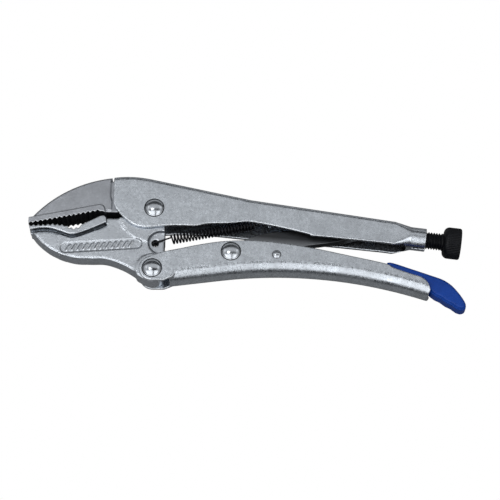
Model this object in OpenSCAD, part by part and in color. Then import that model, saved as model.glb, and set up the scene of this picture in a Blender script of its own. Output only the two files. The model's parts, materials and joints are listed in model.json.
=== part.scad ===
// Locking pliers of the 250 mm size, lying on their side.
// X runs from the jaws to the adjusting screw, Y across the tool and Z along the rivets.
// Outlines are drawn around the jaw pivot, on the tool's middle plane; in_place() moves them to the frame.

/* [Handles] */
// Outer width of both folded handles
handle_w = 14.4; // [14.2:0.1:15]
// Thickness of the handles' sheet steel
sheet = 1.8; // [1.6:0.1:1.9]
// Bend radius along the upper handle's two long edges
fold_r = 3; // [2.2:0.2:4]
// Bend radius of the lower handle's long arch, at its outer face
arch_r = 255; // [250:1:260]

/* [Jaws] */
// Width of the jaws across the teeth
jaw_w = 14; // [13:0.5:14]
// Width of the jaws across the cheeks
cheek_w = 12; // [11.5:0.5:12.5]
// Distance between two teeth
tooth_pitch = 2.7; // [2.5:0.1:3]
// Depth of a tooth
tooth_depth = 1.2; // [0.8:0.1:1.4]

/* [Linkage] */
// From the jaw pivot to the handle pivot
jaw_arm = 37.6; // [37.4:0.1:37.8]
// From the handle pivot to the toggle link's pivot
handle_arm = 45.6; // [45.4:0.1:45.8]
// From the toggle link's pivot to the centre of its rounded end
link_span = 75.7; // [75.5:0.1:76]
// Thickness of the toggle link
link_t = 5; // [4:0.5:6]
// Thickness of the release lever
lever_t = 3; // [2:0.5:4]

/* [Rivets] */
// Radius of the three large rivets' heads
head_r = 5.8; // [5.5:0.1:6]
// Radius of the three large rivets' shanks
shank_r = 3; // [2.5:0.25:3.5]
// Radius of the lever rivet's head
small_head_r = 2.6; // [2.4:0.1:3]
// Radius of the lever rivet's shank
small_shank_r = 1.6; // [1.4:0.1:2]
// Radial play of a shank in the part that turns on it
play = 0.05; // [0.03:0.01:0.1]

/* [Screw] */
// Outer radius of the thread
thread_r = 4.95; // [4.8:0.05:5]
// Lead of the thread
thread_pitch = 1.5; // [1:0.25:1.5]
// Radius of the knurled head
knob_r = 9; // [8.8:0.1:9]
// Length of the knurled head
knob_l = 10.6; // [9:0.2:12]

/* [Spring] */
// Outer radius of the return spring's coil
coil_r = 3; // [2.6:0.1:3.1]
// Thickness of the spring's wire
wire = 0.9; // [0.7:0.1:1]

/* [Grip] */
// Width of the plastic grip on the lever's tail
grip_w = 9.2; // [8.6:0.2:9.6]

/* [Hidden] */
$fn = 64;

tiny = 0.01;
far = 60;
inner_w = handle_w - 2 * sheet;
ear_w = inner_w - 0.4;
core_w = cheek_w - 3;
rivet_gap = 0.02;

// Pivots, around the jaw pivot
handle_pivot = [-0.5, -jaw_arm];
link_pivot = handle_pivot + handle_arm * [cos(12.94), sin(12.94)];
link_end = link_pivot + link_span * [cos(11.6), sin(11.6)];
lever_pivot = [69.8, -29.4];

// Middle of the outline, and the height of the middle plane above the surface
middle = [52.19, -20.61];
lift = knob_r;

// The screw's axis, from the handle's rear end
screw_mouth = [155.1, -17.3];
screw_tilt = 7.5;
tube_r = thread_r + 1.65;
tube_l = 8.5;
rod_start = -25;
knob_start = 9.8;
tip_start = -29.4;
seam_w = 1;
seam_step = 0.05;

// The spring's axis, from the front of the coil
coil_front = [9.8, -17.5];
coil_tilt = 10.9;
coil_l = 49;
coil_z = 1.5;
hook_hole = [0.8, -20.6];
hook_inset = 0.54;
tab_x = 56;

// Point at fraction t of the span b to c, on a smooth curve that also heads for a and d
function between(a, b, c, d, t) =
    (2 * b + (c - a) * t + (2 * a - 5 * b + 4 * c - d) * t * t
    + (3 * b - a - 3 * c + d) * t * t * t) / 2;

// Smooth curve through the points p
function curve(p, n = 6) = [
    for (i = [0 : len(p) - 2], k = [0 : n - 1])
        between(p[max(i - 1, 0)], p[i], p[i + 1], p[min(i + 2, len(p) - 1)], k / n),
    p[len(p) - 1]
];

// Points on a circle from angle a to angle b
function arc(centre, r, a, b, n = 16) = [
    for (i = [0 : n]) centre + r * [cos(a + (b - a) * i / n), sin(a + (b - a) * i / n)]
];

function reversed(p) = [for (i = [len(p) - 1 : -1 : 0]) p[i]];

module in_place() {
    translate([-middle.x, -middle.y, lift]) children();
}

// A flat piece of thickness t on the middle plane
module plate(t) {
    translate([0, 0, -t / 2]) linear_extrude(t) children();
}

// A round bar or hole of length l across the middle plane
module cross_bar(at, r, l) {
    translate([at.x, at.y, -l / 2]) cylinder(r = r, h = l);
}

// Places a piece made along +Z onto the screw's axis, s from the handle's rear end
module on_screw(s) {
    translate([screw_mouth.x, screw_mouth.y, 0])
        rotate([0, 0, -screw_tilt])
            translate([s, 0, 0])
                rotate([0, 90, 0])
                    children();
}

// Places a piece made along +Z onto the spring's axis, s from the front of the coil
module on_spring(s) {
    translate([coil_front.x, coil_front.y, coil_z])
        rotate([0, 0, coil_tilt])
            translate([s, 0, 0])
                rotate([0, 90, 0])
                    children();
}

// Solid section of a folded strip: its back at x = 0 with rounded corners, its sides towards -x
module strip_section(w, r, depth) {
    for (side = [-1, 1]) translate([-r, side * (w / 2 - r)]) circle(r);
    translate([-depth, -w / 2]) square([depth - r, w]);
    if (w > 2 * r + tiny) translate([-depth, -w / 2 + r]) square([depth, w - 2 * r]);
}

module channel_section(w, r, depth) {
    difference() {
        strip_section(w, r, depth);
        translate([-sheet, 0]) strip_section(w - 2 * sheet, r - sheet, depth);
    }
}

// Runs a section straight along +X, with its back at y = 0
module straight(l) {
    rotate([90, 0, 90]) linear_extrude(l) children();
}

// Runs a section round a bend of radius r, from angle a over sweep degrees, that starts or ends at x = 0
module bend(r, a, sweep) {
    translate([0, -r, 0])
        rotate_extrude(angle = sweep, start = a, $fn = 360)
            translate([r, 0], $fn = 64)
                children();
}

// ---- Upper handle ----

nose_x = -23.6;
nose_bend_r = 60;
nose_sweep = 24.5;
run_on = 97;
run_back = 82;
end_spare = 8;
slope_start = [-2, 19.4];
slope_tilt = 13.2;
slope_l = 59;
rear_tilt = 9.5;
rear_l = 84;
upper_depth = 40;
rear_start = slope_start + slope_l * [cos(slope_tilt), -sin(slope_tilt)];
strip_end = rear_start + rear_l * [cos(rear_tilt), -sin(rear_tilt)];
wall_edge = curve([
    [nose_x, 6], [-22.8, 1], [-19.4, -3.8], [-15.2, -8], [-10.4, -11], [-4, -12.2], [4, -11.4], [15, -11],
    [33, -11.8], [51, -13.8], [75, -16.1], [100, -18.5], [131, -22]
]);
scallop = curve([[22, -12], [30, -10], [43, -9.6], [53, -8.7], [62, -10], [76, -13.2], [92, -17.6]]);

// A solid strip of width w, inset from the back. Two straight runs cross at the kink, so that the
// back follows the higher one; both reach past the ends, where the side outline cuts them off.
module upper_run(w, r, inset) {
    translate([slope_start.x, slope_start.y, 0])
        rotate([0, 0, -slope_tilt]) {
            bend(nose_bend_r, 90, nose_sweep) translate([-inset, 0]) strip_section(w, r, upper_depth);
            straight(slope_l + run_on) translate([-inset, 0]) strip_section(w, r, upper_depth);
        }
    translate([rear_start.x, rear_start.y, 0])
        rotate([0, 0, -rear_tilt])
            translate([-run_back, 0, 0])
                straight(run_back + rear_l + end_spare)
                    translate([-inset, 0]) strip_section(w, r, upper_depth);
}

// The folded strip, open below, cut to the outline of its sides
module upper_body() {
    across = [sin(rear_tilt), cos(rear_tilt)];
    intersection() {
        difference() {
            upper_run(handle_w, fold_r, 0);
            upper_run(inner_w, fold_r - sheet, sheet);
        }
        plate(handle_w + 2)
            polygon(concat(wall_edge, [strip_end - 15 * across, strip_end + 10 * across, [nose_x, far]]));
    }
}

// A thin slice of the strip, back steps before its rear end, where it starts to close round the screw
module strip_end_slice(back, w, r, depth) {
    translate([strip_end.x, strip_end.y, 0])
        rotate([0, 0, -rear_tilt])
            translate([-back, -seam_step, 0])
                rotate([90, 0, 90])
                    linear_extrude(0.2)
                        strip_section(w, r, depth);
}

module screw_tube() {
    difference() {
        union() {
            hull() {
                strip_end_slice(0.5, handle_w - 2 * seam_step, fold_r - seam_step, 15, $fn = 32);
                on_screw(-tube_l) cylinder(r = tube_r - seam_step, h = 0.2, $fn = 32);
            }
            on_screw(-tube_l - 0.3) cylinder(r = tube_r, h = tube_l + 0.3);
        }
        hull() {
            translate([0, -sheet + 2 * seam_step, 0])
                strip_end_slice(1, inner_w + 2 * seam_step, fold_r - sheet + seam_step, 18, $fn = 32);
            on_screw(-tube_l) cylinder(r = thread_r - seam_step, h = 0.2, $fn = 32);
        }
        on_screw(-tube_l - 4) cylinder(r = thread_r + play, h = tube_l + 5);
        seam();
    }
}

// The open seam on the tube's lower side, where the rolled edges almost meet
module seam() {
    on_screw(0.6 - tube_l)
        rotate(-14)
            translate([-seam_w / 2, -tube_r - 1, 0])
                cube([seam_w, tube_r + 2 - thread_r, tube_l]);
}

// Tab lanced from the upper handle's back, which holds the spring's rear hook
module spring_tab() {
    on_spring(tab_x)
        difference() {
            translate([-2.5, -2.4, 0]) cube([5, 12.6, sheet]);
            translate([0, 0, -1]) cylinder(r = 1.2, h = sheet + 2);
        }
}

module upper_handle() {
    color("silver")
        in_place()
            difference() {
                union() {
                    upper_body();
                    screw_tube();
                    spring_tab();
                }
                cross_bar([0, 0], shank_r + rivet_gap, handle_w + 2);
                translate([0, 0, inner_w / 2 - 0.5]) linear_extrude(4) polygon(scallop);
            }
}

// ---- Fixed jaw ----

cheek_centre = [-16.7, -47.4];
cheek_r = 68.1;
tip_x = -71.6;
cheek_back = -24.6;
fixed_bite = [tip_x, -10];
bite_slope = 0.2;
strip_h = 4.3;

function cheek_angle(x) = 180 - acos((cheek_centre.x - x) / cheek_r);

fixed_teeth = [
    for (i = [0 : 30])
        let (x = i * tooth_pitch / 2)
            if (x < 41) fixed_bite + [x, bite_slope * x + (i % 2 == 0 ? 0 : tooth_depth)]
];
fixed_heel = [[-29.4, -1.6], [-28, -2.6], [-27.2, -1.8]];
fixed_brow = curve([[-28.2, -2.6], [-28.6, 0.4], [-30.4, 2.1], [-33.5, 1.9], [-50, -1.5], [-68, -5.1]]);

module fixed_outline() {
    polygon(concat(
        fixed_teeth, fixed_heel, [[-21.6, -2.1], [cheek_back, 8]],
        arc(cheek_centre, cheek_r, cheek_angle(cheek_back), cheek_angle(-70.4), 24),
        [[tip_x, -6.6]]
    ));
}

module fixed_strip() {
    polygon(concat(fixed_teeth, [[-29.4, -2]], fixed_brow, [[tip_x, -5.7]]));
}

// The jaw's root, which fills the nose of the handle and is welded there
module tang() {
    difference() {
        polygon([
            [-28, -1.9], [cheek_back - 1, 16.6], [cheek_back + 0.4, 17.8], [-15.5, 18.7], [-9, 18.2],
            [2, 16.4], [8, 14.8], [8, 4], [0, 0], [-12, -2.1]
        ]);
        circle(10.3);
    }
}

module fixed_jaw() {
    color("dimgray")
        in_place() {
            plate(core_w + 1) fixed_outline();
            plate(cheek_w) intersection() {
                offset(r = -0.8) fixed_outline();
                translate([-80, -20]) square([80 + cheek_back, 60]);
            }
            plate(jaw_w) fixed_strip();
            plate(inner_w) tang();
        }
}

// ---- Lower jaw ----

lower_bite = [
    [-71, -10.3], [-64, -10.1], [-57.5, -9.7], [-51.5, -10.2], [-48.5, -11.7], [-45.5, -12.5], [-42, -11.4]
];
lower_teeth = [
    for (i = [0 : 21])
        let (x = tip_x + 0.4 + i * tooth_pitch / 2)
            [x, lookup(x, lower_bite) - (i % 2 == 0 ? 0 : tooth_depth)]
];
lower_heel = [[-41.4, -10.6], [-30.4, -4.8], [-28.6, -4.7], [-27.4, -6]];
groove = curve([
    [-27.2, -8.6], [-35, -12.4], [-42.5, -15.4], [-47.3, -16.3], [-52.5, -14.6], [-58.5, -12.6],
    [-64.5, -12.3], [-70.6, -13.4]
]);
belly = curve([
    [-71.2, -11.4], [-70, -14.8], [-65.2, -20.9], [-57.3, -26.9], [-46, -31.2], [-36, -31.9], [-27, -32.2],
    [-17, -36], [-8.5, -41.5], [-5.2, -43.6]
]);
belly_w = 3.2;
slope_w = 6.6;
lower_cheek_w = 9.6;
ear_r = 7.5;
pivot_boss_r = 9.5;
step_r = 20.6;
dish = [3.9, -20.9];
dish_r = 7.9;
dish_floor = 3.4;
hook_hole_r = 2.1;

// The plain outline, with the round ears on both pivots
module lower_outline() {
    polygon(concat(
        belly, arc(handle_pivot, ear_r, -128, -18, 24), [[6.2, -38], [6.2, -12]],
        arc([0, 0], pivot_boss_r, -12, 200, 32),
        [[-20.5, -4.8], [-27, -4.6]], reversed(lower_heel), reversed(lower_teeth)
    ));
}

module lower_strip() {
    polygon(concat(lower_teeth, lower_heel, groove));
}

// The side inside the belly and below the groove, inset from the outline
module lower_cheek(inset) {
    difference() {
        offset(r = -inset)
            polygon(concat(belly, [[6.2, -42], [6.2, -7], [-20.5, -4.4], [-27, -4.2], [-70, -9]]));
        polygon(concat([[-26, 10]], [for (p = groove) p + [0, -1.4]], [[-90, -13], [-90, 10]]));
    }
}

// The flat ears, which run between the walls of the handles
module ears() {
    intersection() {
        lower_outline();
        union() {
            circle(step_r);
            translate(handle_pivot) circle(pivot_boss_r);
        }
    }
}

nameplate = [[-50.1, -24], [-9.6, -21.5]];

// Shallow stadium on the cheek, filled with a row of plain slanted ribs
module nameplate_cut() {
    difference() {
        hull() for (p = nameplate) translate(p) circle(3.1, $fn = 32);
        for (t = [0.04 : 0.08 : 0.96])
            translate(nameplate[0] + t * (nameplate[1] - nameplate[0]))
                rotate(-30)
                    square([0.8, 4.4], center = true);
    }
}

module lower_jaw() {
    color("lightgray")
        in_place()
            difference() {
                union() {
                    plate(belly_w) lower_outline();
                    plate(slope_w) lower_cheek(0.45);
                    plate(lower_cheek_w) lower_cheek(1);
                    plate(ear_w) ears();
                    plate(jaw_w) lower_strip();
                }
                cross_bar([0, 0], shank_r + play, jaw_w + 2);
                cross_bar(handle_pivot, shank_r + play, jaw_w + 2);
                cross_bar(hook_hole, hook_hole_r, jaw_w + 2);
                translate([dish.x, dish.y, dish_floor]) cylinder(r1 = 6.4, r2 = dish_r + 0.6, h = 3.3);
                for (side = [0, 1])
                    mirror([0, 0, side])
                        translate([0, 0, lower_cheek_w / 2 - 0.5]) linear_extrude(2) nameplate_cut();
            }
}

// ---- Lower handle ----

channel_start = [9.5, -45.6];
lower_heading = 7.1;
front_l = 28.8;
lower_top = curve([
    [4.6, -27.6], [15, -25.4], [26, -23], [38, -21.1], [51, -20.4], [61, -20.8], [72, -22], [91, -25.3],
    [112, -30.2], [131, -34.8], [136, -37.6], [146, -41.4], [151.5, -43.4], [154.6, -46.6], [156, -51]
]);

// Flat wall that carries the handle pivot
module ear_plate() {
    polygon(concat(
        arc(handle_pivot, ear_r, 115, 270, 24), [[6, -45.1], [11, -43], [14.5, -38.4], [14.5, -25.5]],
        [lower_top[0], [1.2, -28.8]]
    ));
}

// The round-bottomed strip: straight at the front, then one long arch to the rear
module arched_channel() {
    translate([channel_start.x, channel_start.y, 0])
        rotate([0, 0, lower_heading]) {
            straight(front_l) mirror([1, 0]) channel_section(handle_w, handle_w / 2, 40);
            translate([front_l, 0, 0])
                bend(arch_r, 60, 30) mirror([1, 0]) channel_section(handle_w, handle_w / 2, 40);
        }
}

module lower_side() {
    polygon(concat(
        [[0, -26], [0, -far - 10], [151, -far - 10], [152.4, -54.4], [154.8, -53.2]], reversed(lower_top)
    ));
}

module lower_handle() {
    color("silver")
        in_place()
            difference() {
                union() {
                    intersection() {
                        arched_channel();
                        plate(handle_w + 2) lower_side();
                    }
                    for (side = [-1, 1])
                        translate([0, 0, side * (handle_w - sheet) / 2]) plate(sheet) ear_plate();
                }
                cross_bar(handle_pivot, shank_r + rivet_gap, handle_w + 2);
                cross_bar(link_pivot, shank_r + rivet_gap, handle_w + 2);
                cross_bar(lever_pivot, small_shank_r + rivet_gap, handle_w + 2);
            }
}

// ---- Toggle link and release lever ----

link_top = curve([
    [48.6, -20.2], [52, -17.9], [58, -15.6], [65, -13.6], [74, -12.7], [90, -11.4], [106, -9.2], [115, -8.2]
]);
link_bottom = curve([
    [115, -16.7], [109, -18.4], [100, -20.1], [91, -21.3], [80, -22.8], [70, -24.3], [60, -26.6], [49.5, -31]
]);
link_eye_r = 6.4;
link_end_r = 4.4;

module toggle_link() {
    color("darkgray")
        in_place()
            difference() {
                plate(link_t)
                    polygon(concat(
                        reversed(link_top), arc(link_pivot, link_eye_r, 60, 320, 32),
                        reversed(link_bottom), arc(link_end, link_end_r, -90, 90, 24)
                    ));
                cross_bar(link_pivot, shank_r + play, link_t + 2);
            }
}

lever_eye_r = 4;
lever_top = curve([[73, -25.2], [76, -24.4], [79, -23.8], [84, -26.4], [95, -29.4], [115, -33], [134, -37.5]]);
lever_bottom = curve([[134, -41.6], [115, -38.4], [95, -35.6], [80, -34.6], [73, -33.4]]);
lever_tail = [[150, -43], [163, -48.5], [168, -54], [162, -52.5], [150, -46.4]];

module lever_shape() {
    polygon(concat(lever_top, lever_tail, lever_bottom, arc(lever_pivot, lever_eye_r, 300, 60, 24)));
}

module release_lever() {
    color("gray")
        in_place()
            difference() {
                plate(lever_t) lever_shape();
                cross_bar(lever_pivot, small_shank_r + play, lever_t + 2);
            }
}

grip_top = curve([
    [131.5, -34.4], [134, -32.4], [146, -36.5], [156.8, -40.5], [163.4, -43.1], [168, -46.4], [171.6, -50.7],
    [174.2, -54.8], [175.7, -58.4], [175.1, -61.2], [172.6, -62.2]
]);
grip_ridges = [
    for (i = [0 : 5]) [170.2 - 2.9 * i, -61.3 + 1.95 * i + (i % 2 == 0 ? 0 : 0.5)]
];
grip_bottom = curve([[155.6, -50.4], [148, -47.6], [139, -43.4], [131.5, -38.6]]);

module lever_grip() {
    color("royalblue")
        in_place()
            difference() {
                union() {
                    plate(grip_w - 2.4) polygon(concat(grip_top, grip_ridges, grip_bottom));
                    plate(grip_w)
                        offset(r = -1) polygon(concat(grip_top, grip_ridges, grip_bottom));
                }
                plate(lever_t) lever_shape();
            }
}

// ---- Spring ----

module return_spring() {
    color("black")
        in_place() {
            on_spring(0) difference() {
                cylinder(r = coil_r, h = coil_l);
                translate([0, 0, -1]) cylinder(r = coil_r - wire, h = coil_l + 2);
            }
            on_spring(coil_l - wire)
                translate([-coil_r + wire / 2, -wire, 0])
                    cube([2 * coil_r - wire, 2 * wire, wire]);
            on_spring(coil_l - wire / 2) cylinder(d = wire, h = tab_x - coil_l + 5);
            on_spring(tab_x + 3.6) translate([-2, -wire, 0]) cube([4, 2 * wire, wire]);
            front_hook(coil_z + coil_r - hook_inset);
        }
}

// Straight wire from the coil's side into the jaw's hole
module front_hook(z) {
    reach = coil_front - hook_hole;
    translate([hook_hole.x, hook_hole.y, z])
        rotate([0, 0, atan2(reach.y, reach.x)])
            rotate([0, 90, 0])
                cylinder(d = wire, h = norm(reach) + 1);
    translate([hook_hole.x, hook_hole.y, 0]) cylinder(d = wire, h = z + wire / 2);
}

// ---- Adjusting screw ----

rod_l = knob_start - rod_start;
turns = floor(rod_l / thread_pitch) - 1;
thread = [
    for (i = [0 : turns], k = [0, 1])
        [thread_r - (k == 0 ? 0.6 * thread_pitch : 0), 0.6 + (i + k / 2) * thread_pitch]
];

module knob_section() {
    polygon(concat(
        [[0, 0], [4.8, 0]], arc([knob_r - 3.2, 3.2], 3.2, -90, 0), arc([knob_r - 1, knob_l - 1.4], 1, 0, 90),
        [[0, knob_l]]
    ));
}

module adjusting_screw() {
    color("black")
        in_place() {
            difference() {
                on_screw(rod_start)
                    rotate_extrude()
                        polygon(concat([[0, 0], [thread_r - 1, 0]], thread, [[thread_r - 1, rod_l], [0, rod_l]]));
                on_screw(rod_start - 1) cylinder(r = 2 + play, h = 5);
            }
            on_screw(knob_start) rotate_extrude() knob_section();
        }
}

module screw_tip() {
    color("black")
        in_place() {
            on_screw(tip_start) cylinder(r = 3.6, h = rod_start - tip_start - 0.1);
            on_screw(rod_start - 0.2) cylinder(r = 2, h = 3.6);
        }
}

// ---- Rivets ----

// A rivet across the handle with a domed head of radius r and height h on each side
module rivet(at, shank, r, h) {
    dome = (r * r + h * h) / (2 * h);
    color("white")
        in_place() {
            cross_bar(at, shank, handle_w);
            for (side = [0, 1])
                mirror([0, 0, side])
                    translate([at.x, at.y, handle_w / 2])
                        rotate_extrude()
                            polygon(concat([[0, 0]], arc([0, h - dome], dome, asin(1 - h / dome), 90)));
        }
}

big_head_h = knob_r - handle_w / 2;

module jaw_pivot_rivet() {
    rivet([0, 0], shank_r, head_r, big_head_h);
}

module handle_pivot_rivet() {
    rivet(handle_pivot, shank_r, head_r, big_head_h);
}

module link_rivet() {
    rivet(link_pivot, shank_r, head_r, big_head_h);
}

module lever_rivet() {
    rivet(lever_pivot, small_shank_r, small_head_r, 0.9);
}

upper_handle();
fixed_jaw();
lower_jaw();
lower_handle();
toggle_link();
release_lever();
lever_grip();
return_spring();
adjusting_screw();
screw_tip();
jaw_pivot_rivet();
handle_pivot_rivet();
link_rivet();
lever_rivet();
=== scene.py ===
"""The looks of the locking pliers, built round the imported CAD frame."""
import json
import math

import bpy
import numpy as np
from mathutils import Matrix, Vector, kdtree


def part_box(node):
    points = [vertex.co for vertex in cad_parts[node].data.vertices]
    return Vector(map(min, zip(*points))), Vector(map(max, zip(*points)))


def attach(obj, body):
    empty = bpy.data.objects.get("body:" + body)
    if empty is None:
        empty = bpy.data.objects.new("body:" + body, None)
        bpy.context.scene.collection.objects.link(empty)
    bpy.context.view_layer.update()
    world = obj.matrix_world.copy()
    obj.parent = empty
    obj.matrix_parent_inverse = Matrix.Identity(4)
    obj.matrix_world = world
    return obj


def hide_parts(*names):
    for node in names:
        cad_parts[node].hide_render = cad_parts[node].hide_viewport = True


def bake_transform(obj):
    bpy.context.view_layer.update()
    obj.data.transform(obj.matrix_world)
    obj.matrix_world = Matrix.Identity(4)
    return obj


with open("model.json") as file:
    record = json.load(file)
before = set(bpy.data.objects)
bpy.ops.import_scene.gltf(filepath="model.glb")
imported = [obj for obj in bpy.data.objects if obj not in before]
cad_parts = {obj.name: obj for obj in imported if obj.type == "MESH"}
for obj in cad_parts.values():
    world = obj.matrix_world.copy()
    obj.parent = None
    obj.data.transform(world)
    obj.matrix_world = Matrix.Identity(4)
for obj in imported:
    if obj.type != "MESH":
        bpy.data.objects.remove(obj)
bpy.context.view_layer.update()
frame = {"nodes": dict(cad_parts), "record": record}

MM = 0.001
JOINTS = {j["name"]: j for j in frame["record"]["behaviour"]["joints"]}
JAW_PIVOT = Vector(JOINTS["jaw_pivot"]["pos_m"])
MID_Z = JAW_PIVOT.z


# ---------------------------------------------------------------- materials

class Nodes:
    """Builds one material's node tree around its Principled shader."""

    def __init__(self, name):
        self.material = bpy.data.materials.new(name)
        self.material.use_nodes = True
        self.tree = self.material.node_tree
        self.shader = self.tree.nodes["Principled BSDF"]
        self.place = self.add("ShaderNodeTexCoord").outputs["Object"]

    def add(self, kind, **values):
        node = self.tree.nodes.new(kind)
        for key, value in values.items():
            setattr(node, key, value)
        return node

    def link(self, a, b):
        self.tree.links.new(a, b)

    def noise(self, size_mm, detail=4.0, roughness=0.55, stretch=(1, 1, 1)):
        """Noise whose features are about size_mm across. stretch scales each axis of its space."""
        mapping = self.add("ShaderNodeMapping")
        mapping.inputs["Scale"].default_value = stretch
        self.link(self.place, mapping.inputs["Vector"])
        noise = self.add("ShaderNodeTexNoise")
        noise.inputs["Scale"].default_value = 1 / (size_mm * MM)
        noise.inputs["Detail"].default_value = detail
        noise.inputs["Roughness"].default_value = roughness
        self.link(mapping.outputs["Vector"], noise.inputs["Vector"])
        return noise.outputs["Fac"]

    def span(self, value, low, high, start=0.3, end=0.7):
        """Maps value from [start, end] to [low, high]."""
        node = self.add("ShaderNodeMapRange")
        for key, number in (("From Min", start), ("From Max", end), ("To Min", low), ("To Max", high)):
            node.inputs[key].default_value = number
        self.link(value, node.inputs["Value"])
        return node.outputs["Result"]

    def mix(self, factor, a, b):
        """Blends the colours a and b, each a socket or a plain colour, by factor."""
        node = self.add("ShaderNodeMix", data_type="RGBA")
        colours = [s for s in node.inputs if s.type == "RGBA"]
        for socket, value in zip(colours, (a, b)):
            if isinstance(value, bpy.types.NodeSocket):
                self.link(value, socket)
            else:
                socket.default_value = (*value, 1)
        if isinstance(factor, bpy.types.NodeSocket):
            self.link(factor, node.inputs[0])
        else:
            node.inputs[0].default_value = factor
        return next(s for s in node.outputs if s.type == "RGBA")

    def math(self, operation, a, b):
        node = self.add("ShaderNodeMath", operation=operation)
        for socket, value in zip(node.inputs, (a, b)):
            if isinstance(value, bpy.types.NodeSocket):
                self.link(value, socket)
            else:
                socket.default_value = value
        return node.outputs["Value"]

    def bump(self, height, depth_mm, under=None):
        node = self.add("ShaderNodeBump")
        node.inputs["Strength"].default_value = 1.0
        node.inputs["Distance"].default_value = depth_mm * MM
        self.link(height, node.inputs["Height"])
        if under is not None:
            self.link(under, node.inputs["Normal"])
        return node.outputs["Normal"]


MOTTLE_MM, CLOUD_MM, GRAIN_MM = 1.3, 9.0, 0.4
RUBBED_EDGE_AND_HIGHLIGHT = (0.86, 0.88, 0.9)


def metal(name, colour, rough, mottle, bump_mm, wear_and_highlight=0.0, blotch=0.35, crevice_shade=0.0, streaks=0.0, shade_above=None):
    """Satin plated steel: mottled colour and roughness, an uneven skin, bright edges that are partly rubbed
    wear and partly a painted highlight, and painted shade in crevices.

    mottle is the share by which the colour varies, and bump_mm the depth of the uneven skin.
    The last argument, (level_mm, slope), paints shade: above that line in X and Y the steel is painted
    dark, fading out below it.
    """
    m = Nodes(name)
    fine = m.noise(MOTTLE_MM, 5.0, 0.62)
    broad = m.noise(CLOUD_MM, 3.0, 0.6)
    grain = m.noise(GRAIN_MM, 3.0, 0.6)
    dark = tuple(c * (1 - mottle) for c in colour)
    light = tuple(min(1.0, c * (1 + mottle)) for c in colour)
    tint = m.mix(m.span(fine, 0, 1), dark, light)
    tint = m.mix(m.span(broad, 0, blotch), tint, tuple(c * 0.7 for c in colour))
    roughness = m.math("ADD", m.span(fine, rough - 0.05, rough + 0.07), m.span(broad, -0.03, 0.05))
    edge = m.add("ShaderNodeNewGeometry").outputs["Pointiness"]
    # Convex edges, found by pointiness, are lightened towards a bright grey: partly rubbed wear, partly a
    # painted edge highlight.
    if wear_and_highlight:
        tint = m.mix(m.math("MULTIPLY", m.span(edge, 0, 1, 0.515, 0.56), wear_and_highlight), tint, RUBBED_EDGE_AND_HIGHLIGHT)
    # Painted shade: concave spots, found by pointiness, are darkened towards near black and made a little
    # rougher.
    if crevice_shade:
        hollow = m.math("MULTIPLY", m.span(edge, 1, 0, 0.45, 0.492), crevice_shade)
        tint = m.mix(hollow, tint, tuple(c * 0.06 for c in colour))
        roughness = m.math("ADD", roughness, m.math("MULTIPLY", hollow, 0.2))
    # Painted shade: above a sloping line in X and Y the steel is darkened towards near black, fading out
    # below it.
    if shade_above:
        level, slope = shade_above
        x, y, _ = m.add("ShaderNodeSeparateXYZ").outputs
        m.link(m.place, x.node.inputs[0])
        below = m.math("SUBTRACT", m.math("MULTIPLY", x, slope), y)
        shade_share = m.span(below, 0.94, 0, -(level + 1.5) * MM, -(level - 7) * MM)
        tint = m.mix(shade_share, tint, tuple(c * 0.05 for c in colour))
    m.link(tint, m.shader.inputs["Base Color"])
    m.link(roughness, m.shader.inputs["Roughness"])
    m.shader.inputs["Metallic"].default_value = 1.0
    skin = m.bump(broad, bump_mm * 3.0)
    skin = m.bump(fine, bump_mm, under=skin)
    skin = m.bump(grain, bump_mm * 0.25, under=skin)
    if streaks:
        skin = m.bump(m.noise(1.2, 3.0, 0.6, stretch=(1, 0.2, 0.2)), streaks, under=skin)
    m.link(skin, m.shader.inputs["Normal"])
    return m.material


def blackened(name, colour, rough, bump_mm):
    """Black oxide on steel: nearly black, with rubbed patches that are a little greyer and glossier. The
    same near black also serves as painted shade.
    """
    m = Nodes(name)
    fine = m.noise(0.7, 4.0)
    patch = m.noise(4.0, 3.0)
    tint = m.mix(m.span(patch, 0, 1, 0.45, 0.75), colour, tuple(c * 2.2 for c in colour))
    m.link(m.mix(m.span(fine, 0, 0.5), tint, tuple(c * 0.5 for c in colour)), m.shader.inputs["Base Color"])
    m.link(m.span(fine, rough - 0.06, rough + 0.1), m.shader.inputs["Roughness"])
    m.shader.inputs["Metallic"].default_value = 0.35
    m.shader.inputs["Specular IOR Level"].default_value = 0.25
    m.link(m.bump(fine, bump_mm), m.shader.inputs["Normal"])
    return m.material


def moulded(name, colour, deep):
    """Moulded plastic: an even colour that varies slowly, and the faint orange peel of the mould."""
    m = Nodes(name)
    slow = m.noise(9.0, 2.0)
    peel = m.noise(0.8, 3.0)
    scuff = m.noise(2.4, 5.0, 0.7, stretch=(0.4, 1.6, 1))
    tint = m.mix(m.span(slow, 0, 1), colour, deep)
    tint = m.mix(m.span(scuff, 0, 0.22, 0.58, 0.72), tint, tuple(min(1, c * 1.6 + 0.02) for c in colour))
    m.link(tint, m.shader.inputs["Base Color"])
    m.link(m.span(scuff, 0.33, 0.5), m.shader.inputs["Roughness"])
    m.shader.inputs["Specular IOR Level"].default_value = 0.25
    m.link(m.bump(peel, 0.02), m.shader.inputs["Normal"])
    return m.material


PLATED = metal(
    "satin_plated_steel", (0.57, 0.61, 0.66), 0.26, 0.22, 0.06,
    wear_and_highlight=0.8, blotch=0.6, crevice_shade=0.25, streaks=0.05,
)
FORGED = metal(
    "satin_forged_steel", (0.52, 0.555, 0.6), 0.28, 0.14, 0.045,
    wear_and_highlight=0.7, blotch=0.4, crevice_shade=1.0,
)
JAW = metal("darker_jaw_steel", (0.4, 0.42, 0.455), 0.34, 0.12, 0.05, wear_and_highlight=0.5, blotch=0.5, crevice_shade=1.0)
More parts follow.
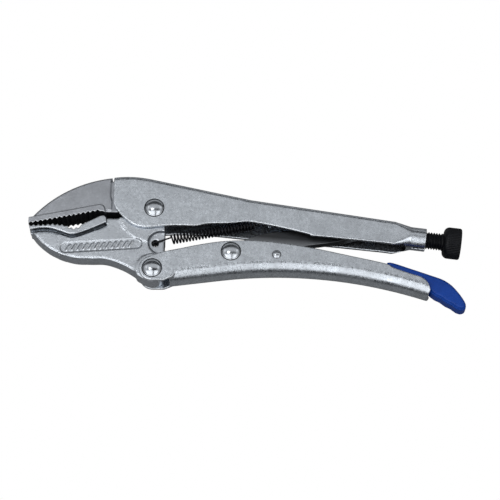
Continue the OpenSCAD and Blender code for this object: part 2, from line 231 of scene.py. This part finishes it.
# The link gets painted shade over its upper part.
LINK = metal("dull_link_steel", (0.42, 0.44, 0.47), 0.4, 0.08, 0.02, wear_and_highlight=0.3, shade_above=(4.2, -0.095))
POLISHED = metal("polished_rivet_steel", (0.5, 0.53, 0.57), 0.17, 0.03, 0.002, blotch=0.05)
OXIDE = blackened("black_oxide_steel", (0.004, 0.0045, 0.0065), 0.4, 0.01)
SPRING = blackened("black_spring_wire", (0.008, 0.008, 0.01), 0.32, 0.004)
# Near black in the black oxide recipe: painted shade on the tooth faces in the mouth and round the rivets'
# feet.
PAINTED_SHADE_BLACK = blackened("painted_shade_black", (0.012, 0.013, 0.016), 0.5, 0.02)
PLASTIC = moulded("royal_blue_plastic", (0.003, 0.05, 0.32), (0.002, 0.036, 0.24))


def coat(obj, material):
    """Gives the whole object one material."""
    obj.data.materials.clear()
    obj.data.materials.append(material)


# ---------------------------------------------------------------- mesh tools

WELD_REACH = 0.002 * MM
SMOOTH_STEP = 0.5


def new_object(name, mesh):
    obj = bpy.data.objects.new(name, mesh)
    bpy.context.scene.collection.objects.link(obj)
    return obj


def mesh_from(name, points, faces):
    mesh = bpy.data.meshes.new(name)
    mesh.from_pydata([tuple(p) for p in points], [], faces)
    mesh.update()
    return mesh


def smooth(mesh):
    mesh.polygons.foreach_set("use_smooth", np.ones(len(mesh.polygons), bool))
    mesh.update()


def even_skin(obj, voxel_mm, rounds):
    """Covers the CAD mesh with an even, dense skin whose sheared edges are slightly rounded."""
    weld = obj.modifiers.new("weld", "WELD")
    weld.merge_threshold = WELD_REACH
    skin = obj.modifiers.new("skin", "REMESH")
    skin.mode = "VOXEL"
    skin.voxel_size = voxel_mm * MM
    skin.use_smooth_shade = True
    edges = obj.modifiers.new("edges", "SMOOTH")
    edges.factor = SMOOTH_STEP
    edges.iterations = rounds


def remeshed(node, voxel_mm):
    """An even, dense copy of a CAD node's shape."""
    temp = new_object("temp", frame["nodes"][node].data.copy())
    weld = temp.modifiers.new("weld", "WELD")
    weld.merge_threshold = WELD_REACH
    remesh = temp.modifiers.new("remesh", "REMESH")
    remesh.mode = "VOXEL"
    remesh.voxel_size = voxel_mm * MM
    shape = temp.evaluated_get(bpy.context.evaluated_depsgraph_get())
    mesh = bpy.data.meshes.new_from_object(shape)
    bpy.data.objects.remove(temp)
    mesh.name = node + "_shape"
    return mesh


def points_of(mesh):
    co = np.empty(len(mesh.vertices) * 3)
    mesh.vertices.foreach_get("co", co)
    return co.reshape(-1, 3)


def relax(mesh, weight, rounds):
    """Smooths the mesh, each vertex by its own weight from 0 to 1."""
    co = points_of(mesh)
    edges = np.empty(len(mesh.edges) * 2, np.int64)
    mesh.edges.foreach_get("vertices", edges)
    a, b = edges.reshape(-1, 2).T
    count = np.bincount(a, minlength=len(co)) + np.bincount(b, minlength=len(co))
    for _ in range(rounds):
        total = np.stack([
            np.bincount(a, co[b, k], len(co)) + np.bincount(b, co[a, k], len(co)) for k in range(3)
        ], axis=1)
        co += SMOOTH_STEP * weight[:, None] * (total / count[:, None] - co)
    mesh.vertices.foreach_set("co", co.ravel())
    mesh.update()


def distance_to(points, others):
    """For each of points, the distance in X and Y to the nearest of others."""
    tree = kdtree.KDTree(len(others))
    for i, p in enumerate(others):
        tree.insert((p[0], p[1], 0), i)
    tree.balance()
    return np.array([tree.find((p[0], p[1], 0))[2] for p in points])


def replaced(node, mesh, body, material):
    """Puts the mesh in the place of a CAD node, on that node's body."""
    obj = new_object(node + "_shape", mesh)
    smooth(mesh)
    coat(obj, material)
    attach(obj, body)
    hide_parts(node)
    return obj


# ---------------------------------------------------------------- handles, link and lever

HANDLE_VOXEL = 0.28

for node, rounds, material in (
    ("upper_handle", 10, PLATED),
    ("lower_handle", 10, PLATED),
    ("toggle_link", 6, LINK),
    ("release_lever", 5, PLATED),
    ("screw_tip", 3, OXIDE),
):
    even_skin(frame["nodes"][node], HANDLE_VOXEL, rounds)
    coat(frame["nodes"][node], material)


# ---------------------------------------------------------------- jaws

VOXEL = 0.24
MOUTH_Y = sum(corner[1] for corner in frame["record"]["physics"]["openings"][0]["box_m"]) / 2
MOUTH_REACH = 9 * MM
MOUTH_SHARE = 0.74
MARK_Z = 4.3 * MM
SHARP, MARKED, SOFT = 0.06, 0.12, 1.0
STRIP_SAMPLES = 20000


def paint_teeth_shade(obj, facing):
    """Paints the tooth faces of the mouth, which face along facing in Y, near black: a painted shade."""
    mesh = obj.data
    mesh.materials.append(PAINTED_SHADE_BLACK)
    count = len(mesh.polygons)
    normals, centres = np.empty(count * 3), np.empty(count * 3)
    mesh.polygons.foreach_get("normal", normals)
    mesh.polygons.foreach_get("center", centres)
    normals, centres = normals.reshape(-1, 3), centres.reshape(-1, 3)
    low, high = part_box("fixed_jaw")
    mouth_end = low.x + MOUTH_SHARE * (high.x - low.x)
    teeth = (normals[:, 1] * facing > 0.25) & (np.abs(normals[:, 2]) < 0.6) & (centres[:, 0] < mouth_end)
    inside = np.abs(centres[:, 1] - MOUTH_Y) < MOUTH_REACH
    mesh.polygons.foreach_set("material_index", (teeth & inside).astype(np.int32))
    mesh.update()


def marked_area(points):
    """True for the points in the cheek's marked recess, found by the recess floor of the CAD mesh."""
    cad = points_of(frame["nodes"]["lower_jaw"].data)
    floor_points = cad[np.abs(cad[:, 2] - MID_Z - MARK_Z) < 0.02 * MM]
    low, high = floor_points.min(axis=0) - MM, floor_points.max(axis=0) + MM
    return np.all((points[:, :2] > low[:2]) & (points[:, :2] < high[:2]), axis=1)


def forged_jaw(node, body, material, crisp_z_mm, rounds, facing):
    """A forging: soft everywhere except on its toothed strip and in its marked recess.

    The toothed strip is what stands further than crisp_z_mm above the middle plane.
    """
    mesh = remeshed(node, VOXEL)
    co = points_of(mesh)
    top = co[co[:, 2] > MID_Z + crisp_z_mm * MM]
    near_strip = distance_to(co, top[:: max(1, len(top) // STRIP_SAMPLES)])
    weight = np.clip(near_strip / MM - 0.2, SHARP, SOFT)
    if node == "lower_jaw":
        weight[marked_area(co)] = MARKED
    relax(mesh, weight, rounds)
    obj = replaced(node, mesh, body, material)
    paint_teeth_shade(obj, facing)


forged_jaw("lower_jaw", "lower_jaw", FORGED, 6.6, 40, 1)
forged_jaw("fixed_jaw", "upper_handle", JAW, 6.8, 8, -1)

grip_mesh = remeshed("lever_grip", 0.3)
relax(grip_mesh, np.full(len(grip_mesh.vertices), SOFT), 16)
replaced("lever_grip", grip_mesh, "release_lever", PLASTIC)


# ---------------------------------------------------------------- rivets

def turned(name, profile, at, axis, sides=96):
    """A turned piece: profile is a list of (radius, distance along axis)."""
    axis = Vector(axis).normalized()
    u = axis.orthogonal().normalized()
    v = axis.cross(u)
    points, faces = [], []
    for r, s in profile:
        for k in range(sides):
            t = 2 * math.pi * k / sides
            points.append(Vector(at) + axis * s + r * (math.cos(t) * u + math.sin(t) * v))
    for i in range(len(profile) - 1):
        for k in range(sides):
            n = (k + 1) % sides
            faces.append((i * sides + k, i * sides + n, (i + 1) * sides + n, (i + 1) * sides + k))
    faces.append(tuple(range(sides - 1, -1, -1)))
    faces.append(tuple((len(profile) - 1) * sides + k for k in range(sides)))
    return mesh_from(name, points, faces)


def rivet(node, body):
    """A shank with two polished domes, each with a dark line of painted shade round its foot."""
    low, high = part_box(node)
    centre = (low + high) / 2
    r = (high.x - low.x) / 2
    top = (high.z - low.z) / 2
    wall = (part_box("upper_handle")[1].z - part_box("upper_handle")[0].z) / 2
    foot = 0.9 * r
    rim = 0.05 * MM
    base = wall + 0.07 * MM
    head = [(r, wall - rim), (r, wall + rim), (foot, base)]
    steps = 16
    for k in range(steps + 1):
        t = 1 - k / steps
        height = 0.35 * (1 - t ** 2) + 0.65 * math.sqrt(1 - t ** 2)
        head.append((max(0.02 * MM, foot * t), base + (top - base) * height))
    profile = [(a, -b) for a, b in reversed(head)] + head
    mesh = turned(node + "_shape", profile, centre, (0, 0, 1))
    obj = replaced(node, mesh, body, POLISHED)
    mesh.materials.append(PAINTED_SHADE_BLACK)
    # The faces round the dome's foot take the near black: a painted contact shade.
    for face in mesh.polygons:
        reach = Vector((face.center.x - centre.x, face.center.y - centre.y)).length
        face.material_index = int(reach > 0.99 * foot)


rivet("jaw_pivot_rivet", "upper_handle")
for name in ("handle_pivot_rivet", "link_rivet", "lever_rivet"):
    rivet(name, "lower_handle")


# ---------------------------------------------------------------- adjusting screw

SCREW_AXIS = Vector(JOINTS["screw_turn"]["axis"]).normalized()
SCREW_AT = Vector(JOINTS["screw_turn"]["pos_m"])


def screw_measures():
    """Where along its axis the screw starts, where its knob starts and ends, and the radii of both."""
    co = points_of(frame["nodes"]["adjusting_screw"].data) - np.array(SCREW_AT)
    s = co @ np.array(SCREW_AXIS)
    r = np.linalg.norm(co - s[:, None] * np.array(SCREW_AXIS), axis=1)
    knob = s[r > 6 * MM].min()
    return [float(v) for v in (s.min(), knob, s.max(), r[s < knob - MM].max(), r.max())]


def grid(name, rows, columns, point):
    """A mesh of rows by columns points, closed round its columns and capped at both ends."""
    points = [point(i, k) for i in range(rows) for k in range(columns)]
    faces = []
    for i in range(rows - 1):
        for k in range(columns):
            n = (k + 1) % columns
            faces.append((i * columns + k, i * columns + n, (i + 1) * columns + n, (i + 1) * columns + k))
    faces.append(tuple(range(columns - 1, -1, -1)))
    faces.append(tuple((rows - 1) * columns + k for k in range(columns)))
    return mesh_from(name, points, faces)


def on_screw(s, r, angle):
    """The point at the distance s along the screw's axis, the radius r and the angle round it."""
    u = SCREW_AXIS.orthogonal().normalized()
    v = SCREW_AXIS.cross(u)
    return SCREW_AT + SCREW_AXIS * s + r * (math.cos(angle) * u + math.sin(angle) * v)


def adjusting_screw():
    """The rod with a true helical thread, and its knob with fine ridges round the side."""
    start, knob, end, rod_r, knob_r = screw_measures()
    pitch = 1.5 * MM
    depth = 0.55 * pitch
    per_turn = 8
    rows = int((knob + 0.5 * MM - start) / pitch * per_turn)
    sides = 64

    def thread(i, k):
        s = start + i * pitch / per_turn
        wave = abs(((s / pitch - k / sides) % 1) * 2 - 1)
        groove = min(1, max(0, 1.35 * wave - 0.15))
        runout = min(1, max(0, (knob - 0.4 * MM - s) / (0.8 * MM)))
        return on_screw(s, rod_r - depth * (1 - groove) * runout, 2 * math.pi * k / sides)

    rod = new_object("adjusting_screw_shape", grid("adjusting_screw_shape", rows, sides, thread))
    ridges = 54
    ridge_depth = 0.22 * MM
    round_r = 3.2 * MM
    length = end - knob
    lip = 0.4 * MM
    rim_r = 1.2 * MM
    flat = length - lip
    hollow = length - 2 * lip
    outline = [(0.8 * rod_r, 0.0)]
    for j in range(10):
        a = -math.pi / 2 + math.pi / 2 * j / 9
        outline.append((knob_r - round_r + round_r * math.cos(a), round_r + round_r * math.sin(a)))
    for j in range(1, 9):
        outline.append((knob_r, round_r + (flat - round_r - rim_r) * j / 8))
    for j in range(1, 7):
        a = math.pi / 2 * j / 6
        outline.append((knob_r - rim_r * (1 - math.cos(a)), flat - rim_r * (1 - math.sin(a))))
    outline += [(0.62 * knob_r, flat), (0.55 * knob_r, hollow), (0.05 * knob_r, hollow)]
    columns = ridges * 6

    def head(i, k):
        r, s = outline[i]
        rise = min(1, max(0, (s - 1.6 * MM) / (1.5 * MM)))
        fall = min(1, max(0, (length - 0.7 * MM - s) / (0.5 * MM)))
        wave = 0.5 - 0.5 * math.cos(2 * math.pi * k * ridges / columns)
        r -= ridge_depth * wave * rise * fall if r > 0.8 * knob_r else 0
        return on_screw(knob + s, r, 2 * math.pi * k / columns)

    knob_piece = new_object("screw_knob", grid("screw_knob", len(outline), columns, head))
    for piece in (rod, knob_piece):
        smooth(piece.data)
        coat(piece, OXIDE)
        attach(piece, "adjusting_screw")
    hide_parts("adjusting_screw")


adjusting_screw()


# ---------------------------------------------------------------- return spring

COIL_FRONT = JAW_PIVOT + Vector((9.8, -17.5, 1.5)) * MM
COIL_TILT = math.radians(10.9)
COIL_LENGTH = 49 * MM
COIL_R = 3.0 * MM
WIRE = 0.9 * MM
COIL_PITCH = 1.85 * MM
TAB_AT = 56 * MM
HOOK_HOLE = JAW_PIVOT + Vector((0.8, -20.6, 0)) * MM


def swept(name, path, radius, sides=12):
    """A round wire along path, with closed ends."""
    points = []
    end = len(path) - 1
    tangents = [(path[min(i + 1, end)] - path[max(i - 1, 0)]).normalized() for i in range(end + 1)]
    side = tangents[0].orthogonal().normalized()
    for at, along in zip(path, tangents):
        side = (side - along * side.dot(along)).normalized()
        up = along.cross(side)
        for k in range(sides):
            a = 2 * math.pi * k / sides
            points.append(at + radius * (math.cos(a) * side + math.sin(a) * up))
    return grid(name, len(path), sides, lambda i, k: points[i * sides + k])


def return_spring():
    """The coil, its front hook through the lower jaw and its rear hook on the handle's tab."""
    along = Vector((math.cos(COIL_TILT), math.sin(COIL_TILT), 0))
    across = Vector((-math.sin(COIL_TILT), math.cos(COIL_TILT), 0))
    up = Vector((0, 0, 1))
    turns = COIL_LENGTH / COIL_PITCH
    per_turn = 32
    r = COIL_R - WIRE / 2
    start = COIL_FRONT
    reach = start + up * r - HOOK_HOLE
    path = [HOOK_HOLE + up * t * MM for t in (-1.5, -0.5, 0.5)]
    top = HOOK_HOLE + up * r + up * (start.z - HOOK_HOLE.z)
    path += [top - up * 0.5 * MM + reach.normalized() * 0.15 * MM, top + reach.normalized() * 0.6 * MM]
    steps = int(turns * per_turn)
    level = Vector((start.x - HOOK_HOLE.x, start.y - HOOK_HOLE.y, 0))
    path += [top + level * t for t in (0.2, 0.4, 0.6, 0.8, 0.95)]
    for i in range(steps + 1):
        a = 2 * math.pi * i / per_turn
        s = COIL_LENGTH * i / steps
        path.append(start + along * s + r * (math.cos(a) * up + math.sin(a) * across))
    last = path[-1]
    axis_end = start + along * (COIL_LENGTH + 1.6 * MM)
    path += [last.lerp(axis_end, t) for t in (0.4, 0.75)]
    path += [start + along * (COIL_LENGTH + d * MM) for d in (2.2, 4, 6, 8, 9.6)]
    hook = start + along * (TAB_AT + 3.8 * MM)
    path += [hook + along * 0.4 * MM + up * 0.5 * MM, hook + along * 0.3 * MM + up * 1.6 * MM]
    obj = new_object("return_spring_coil", swept("return_spring_coil", path, WIRE / 2))
    smooth(obj.data)
    coat(obj, SPRING)
    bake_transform(obj)
    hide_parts("return_spring")


return_spring()


# ---------------------------------------------------------------- floor, light and camera

def floor():
    """A pale floor, lit evenly to the camera, that shows only as a grey in the metal's reflections."""
    mesh = mesh_from("floor", [(-2, -2, 0), (2, -2, 0), (2, 2, 0), (-2, 2, 0)], [(0, 1, 2, 3)])
    obj = new_object("floor", mesh)
    m = Nodes("pale_floor")
    m.shader.inputs["Base Color"].default_value = (0.28, 0.28, 0.28, 1)
    m.shader.inputs["Roughness"].default_value = 0.9
    m.shader.inputs["Specular IOR Level"].default_value = 0.0
    lit = m.add("ShaderNodeEmission")
    seen = m.add("ShaderNodeLightPath").outputs["Is Camera Ray"]
    mix = m.add("ShaderNodeMixShader")
    m.link(seen, mix.inputs["Fac"])
    m.link(m.shader.outputs[0], mix.inputs[1])
    m.link(lit.outputs[0], mix.inputs[2])
    m.link(mix.outputs[0], m.tree.nodes["Material Output"].inputs["Surface"])
    coat(obj, m.material)


def softbox(name, elevation, size_x, size_y, power, azimuth=0.0, aside=0.0, distance=2.4):
    """A soft panel that faces the tool, aside metres to the right of its middle.

    elevation runs from 0 degrees at the back (+Y) over the top to 180 at the front.
    """
    light = bpy.data.lights.new(name, "AREA")
    light.shape = "RECTANGLE"
    light.size, light.size_y, light.energy = size_x, size_y, power
    obj = bpy.data.objects.new(name, light)
    a, b = math.radians(elevation), math.radians(azimuth)
    way = Vector((math.sin(b) * math.cos(a), math.cos(b) * math.cos(a), math.sin(a)))
    obj.location = way * distance + Vector((aside, 0, 0))
    obj.rotation_euler = way.to_track_quat("Z", "Y").to_euler()
    bpy.context.scene.collection.objects.link(obj)


def camera():
    """A long lens that looks down on the near side, at the photograph's viewing angle."""
    elevation = math.radians(65)
    distance = 0.9975
    seen_width = 0.285
    target = Vector((0.00256, -0.00274, MID_Z))
    data = bpy.data.cameras.new("camera")
    data.sensor_width = 36
    data.lens = data.sensor_width * distance / seen_width
    data.clip_start = 0.01
    obj = bpy.data.objects.new("camera", data)
    way = Vector((0, -math.cos(elevation), math.sin(elevation)))
    obj.location = target + way * distance
    obj.rotation_euler = way.to_track_quat("Z", "Y").to_euler()
    bpy.context.scene.collection.objects.link(obj)
    bpy.context.scene.camera = obj


floor()
softbox("front_left_softbox", 120, 2.3, 2.6, 33, aside=-1.05)
softbox("front_right_softbox", 120, 1.6, 2.6, 23, aside=1.25)
softbox("top_softbox", 62, 4.0, 1.1, 9)
softbox("key_softbox", 80, 0.5, 0.4, 3.5, aside=-0.55, distance=2.2)
softbox("back_softbox", 14, 4.4, 0.7, 5)
softbox("left_softbox", 40, 3.0, 1.6, 8, azimuth=-90)
softbox("right_softbox", 40, 3.0, 1.6, 8, azimuth=90)
world = bpy.data.worlds.new("studio")
world.use_nodes = True
world.node_tree.nodes["Background"].inputs["Color"].default_value = (0.9, 0.95, 1.0, 1)
world.node_tree.nodes["Background"].inputs["Strength"].default_value = 0.06
bpy.context.scene.world = world
bpy.context.scene.view_settings.view_transform = "Standard"
camera()
